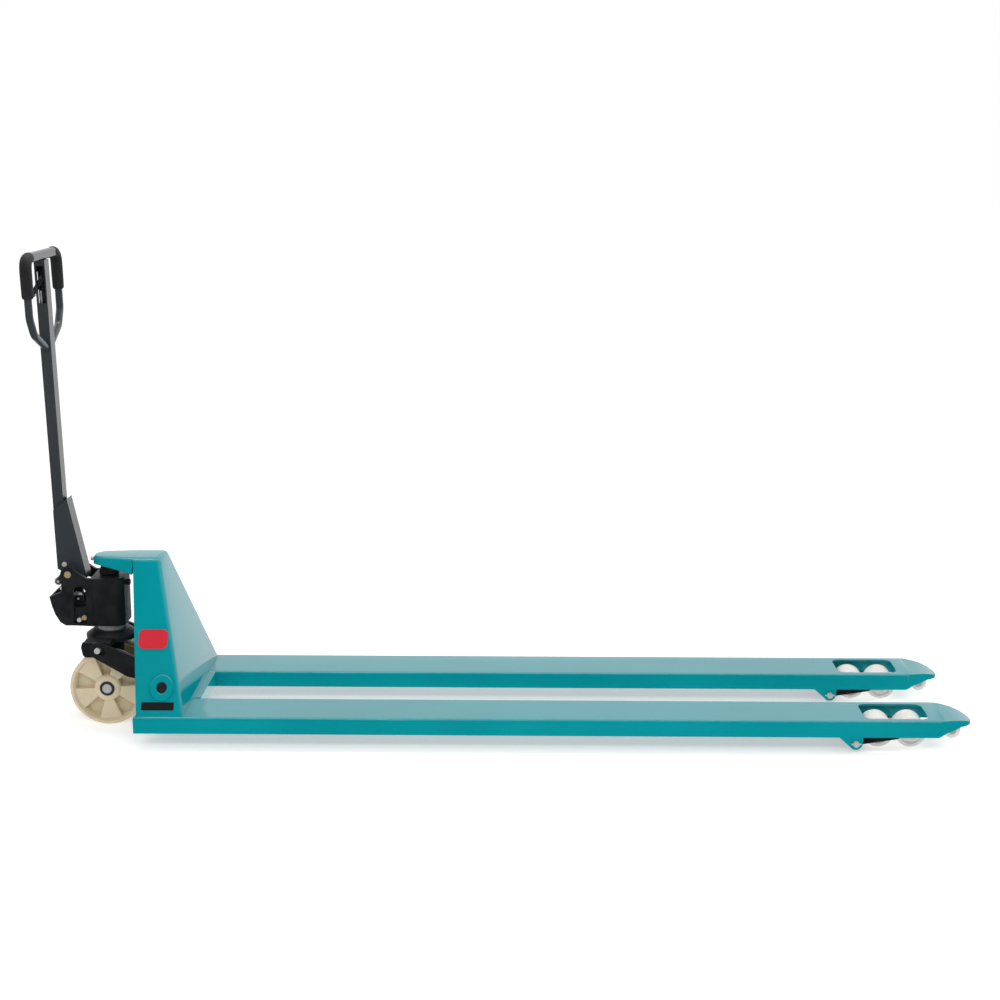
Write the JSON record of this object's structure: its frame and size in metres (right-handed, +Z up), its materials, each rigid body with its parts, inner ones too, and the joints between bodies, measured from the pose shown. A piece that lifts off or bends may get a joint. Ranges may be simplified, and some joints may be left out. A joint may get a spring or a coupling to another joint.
{
  "type": "hand pallet truck",
  "caption": "Hand pallet truck with long forks, hydraulic pump, steered wheels under a tiller with a loop handle, and a lifting linkage to load rollers in the forks.",
  "frame": {"origin": "on the floor, under the middle of the truck's overall box, with the forks lowered", "axes": "+X along the forks towards their tips, +Y to the truck's left seen from the handle looking to the tips, +Z up"},
  "size_m": [2.439, 0.558, 1.2568],
  "materials": {
    "frame_paint": "glossy turquoise powder coat",
    "black_label": "blank printed film",
    "red_badge": "blank printed film",
    "black_steel": "satin black paint",
    "zinc": "bright zinc plate",
    "chrome": "ground and hard chromed",
    "bronze": "yellow passivated",
    "white_nylon": "machined nylon",
    "tan_nylon": "moulded nylon",
    "black_casting": "painted casting",
    "black_rubber": "moulded rubber",
    "black_seal": "oiled bearing race and seal",
    "black_plastic": "moulded",
    "tiller_paint": "dark grey powder coat"
  },
  "bodies": {
    "thrust_base": {"thrust_base": "black_casting", "link_pins": "zinc"},
    "chassis": {"left_fork": "frame_paint", "right_fork": "frame_paint", "front_plate": "frame_paint", "left_side_plate": "frame_paint", "right_side_plate": "frame_paint", "shaft_bosses": "frame_paint", "top_arm": "frame_paint", "cross_plate": "frame_paint", "rating_labels": "black_label", "side_badges": "red_badge", "rocker_shaft": "black_steel", "yoke_pivot_pins": "zinc", "pivot_roll_pins": "zinc", "tip_roller_mounts": "zinc", "ram_rod": "chrome", "ram_head": "black_steel", "arm_screw": "zinc"},
    "rocker": {"rocker_tube": "black_steel", "lift_arms": "black_steel", "crank_arms": "black_steel"},
    "steering": {"thrust_bearing": "zinc", "pump_base": "black_casting", "pump_housing": "black_casting", "valve_block": "black_casting", "valve_plug": "bronze", "valve_screw": "zinc", "filler_cap": "black_plastic", "steer_axle": "zinc", "tiller_pivot_pin": "bronze"},
    "valve_lever": {"valve_lever": "zinc"},
    "plunger": {"plunger": "zinc", "plunger_spring": "zinc"},
    "tiller": {"tiller_bracket": "tiller_paint", "bracket_bolt": "zinc", "tiller_tube": "tiller_paint", "handle_loop": "tiller_paint", "grips": "black_rubber"},
    "press_roller": {"press_roller": "zinc"},
    "release_lever": {"release_lever": "black_plastic"},
    "release_rod": {"release_rod": "zinc"},
    "left_rod": {"left_push_rod": "black_steel"},
    "left_yoke": {"left_yoke": "black_steel"},
    "left_bogie": {"left_bogie_plates": "zinc", "left_bogie_pins": "zinc"},
    "left_wheel": {"left_steer_wheel": "tan_nylon", "left_wheel_bearing": "black_seal"},
    "left_tip_roller": {"left_tip_roller": "white_nylon"},
    "left_rear_roller": {"left_rear_roller": "white_nylon"},
    "left_front_roller": {"left_front_roller": "white_nylon"},
    "right_rod": {"right_push_rod": "black_steel"},
    "right_yoke": {"right_yoke": "black_steel"},
    "right_bogie": {"right_bogie_plates": "zinc", "right_bogie_pins": "zinc"},
    "right_wheel": {"right_steer_wheel": "tan_nylon", "right_wheel_bearing": "black_seal"},
    "right_tip_roller": {"right_tip_roller": "white_nylon"},
    "right_rear_roller": {"right_rear_roller": "white_nylon"},
    "right_front_roller": {"right_front_roller": "white_nylon"}
  },
  "joints": [
    {"name": "lift", "type": "slide", "parent": "thrust_base", "child": "chassis", "axis": [0, 0, 1], "range_m": [0, 0.115]},
    {"name": "steer", "type": "hinge", "parent": "thrust_base", "child": "steering", "pos_m": [-1.04852, 0, 0], "axis": [0, 0, 1], "range_deg": [-90, 90]},
    {"name": "rocker_turn", "type": "hinge", "parent": "chassis", "child": "rocker", "pos_m": [-0.87152, 0, 0.151], "axis": [0, -1, 0], "range_deg": [0, 33.85]},
    {"name": "tiller_pull", "type": "hinge", "parent": "steering", "child": "tiller", "pos_m": [-1.14552, 0, 0.406], "axis": [0, -1, 0], "range_deg": [0, 75], "stiffness_Nm_per_rad": 40, "springref_deg": -17.19},
    {"name": "plunger_stroke", "type": "slide", "parent": "steering", "child": "plunger", "axis": [0, 0, -1], "range_m": [0, 0.0151], "deforming": ["plunger_spring"]},
    {"name": "press_roller_spin", "type": "hinge", "parent": "tiller", "child": "press_roller", "pos_m": [-1.18148, 0, 0.37796], "axis": [0, 1, 0], "continuous": true},
    {"name": "release_pull", "type": "hinge", "parent": "tiller", "child": "release_lever", "pos_m": [-1.1826, 0, 1.18435], "axis": [0, 1, 0], "range_deg": [-8, 22], "stiffness_Nm_per_rad": 3},
    {"name": "release_rod_slide", "type": "slide", "parent": "tiller", "child": "release_rod", "axis": [-0.0232, 0, 0.9997], "range_m": [-0.0012, 0.0032]},
    {"name": "valve_turn", "type": "hinge", "parent": "steering", "child": "valve_lever", "pos_m": [-1.13052, 0, 0.33], "axis": [0, 1, 0], "range_deg": [-8.1, 22.1]},
    {"name": "left_rod_push", "type": "slide", "parent": "chassis", "child": "left_rod", "axis": [1, 0, 0], "range_m": [0, 0.04974]},
    {"name": "left_yoke_swing", "type": "hinge", "parent": "chassis", "child": "left_yoke", "pos_m": [0.91148, 0.19, 0.026], "axis": [0, 1, 0], "range_deg": [0, 74.56]},
    {"name": "left_bogie_level", "type": "hinge", "parent": "left_yoke", "child": "left_bogie", "pos_m": [1.0194, 0.19, 0.041], "axis": [0, -1, 0], "range_deg": [0, 74.56]},
    {"name": "left_tip_roller_spin", "type": "hinge", "parent": "chassis", "child": "left_tip_roller", "pos_m": [1.16648, 0.19, 0.047], "axis": [0, 1, 0], "continuous": true},
    {"name": "left_wheel_spin", "type": "hinge", "parent": "steering", "child": "left_wheel", "pos_m": [-1.04852, 0.061, 0.1], "axis": [0, 1, 0], "continuous": true},
    {"name": "left_rear_roller_spin", "type": "hinge", "parent": "left_bogie", "child": "left_rear_roller", "pos_m": [0.9774, 0.19, 0.04], "axis": [0, 1, 0], "continuous": true},
    {"name": "left_front_roller_spin", "type": "hinge", "parent": "left_bogie", "child": "left_front_roller", "pos_m": [1.0614, 0.19, 0.04], "axis": [0, 1, 0], "continuous": true},
    {"name": "right_rod_push", "type": "slide", "parent": "chassis", "child": "right_rod", "axis": [1, 0, 0], "range_m": [0, 0.04974]},
    {"name": "right_yoke_swing", "type": "hinge", "parent": "chassis", "child": "right_yoke", "pos_m": [0.91148, -0.19, 0.026], "axis": [0, 1, 0], "range_deg": [0, 74.56]},
    {"name": "right_bogie_level", "type": "hinge", "parent": "right_yoke", "child": "right_bogie", "pos_m": [1.0194, -0.19, 0.041], "axis": [0, -1, 0], "range_deg": [0, 74.56]},
    {"name": "right_tip_roller_spin", "type": "hinge", "parent": "chassis", "child": "right_tip_roller", "pos_m": [1.16648, -0.19, 0.047], "axis": [0, 1, 0], "continuous": true},
    {"name": "right_wheel_spin", "type": "hinge", "parent": "steering", "child": "right_wheel", "pos_m": [-1.04852, -0.061, 0.1], "axis": [0, 1, 0], "continuous": true},
    {"name": "right_rear_roller_spin", "type": "hinge", "parent": "right_bogie", "child": "right_rear_roller", "pos_m": [0.9774, -0.19, 0.04], "axis": [0, 1, 0], "continuous": true},
    {"name": "right_front_roller_spin", "type": "hinge", "parent": "right_bogie", "child": "right_front_roller", "pos_m": [1.0614, -0.19, 0.04], "axis": [0, 1, 0], "continuous": true}
  ],
  "couplings": [
    {"joint": "rocker_turn", "follows": "lift", "rad_per_m": 5.1293},
    {"joint": "plunger_stroke", "follows": "tiller_pull", "m_per_rad": 0.011459},
    {"joint": "release_rod_slide", "follows": "release_pull", "m_per_rad": 0.008},
    {"joint": "valve_turn", "follows": "release_pull", "ratio": 1},
    {"joint": "left_rod_push", "follows": "lift", "ratio": 0.43166},
    {"joint": "left_yoke_swing", "follows": "lift", "rad_per_m": 11.309},
    {"joint": "left_bogie_level", "follows": "lift", "rad_per_m": 11.309},
    {"joint": "right_rod_push", "follows": "lift", "ratio": 0.43166},
    {"joint": "right_yoke_swing", "follows": "lift", "rad_per_m": 11.309},
    {"joint": "right_bogie_level", "follows": "lift", "rad_per_m": 11.309}
  ]
}
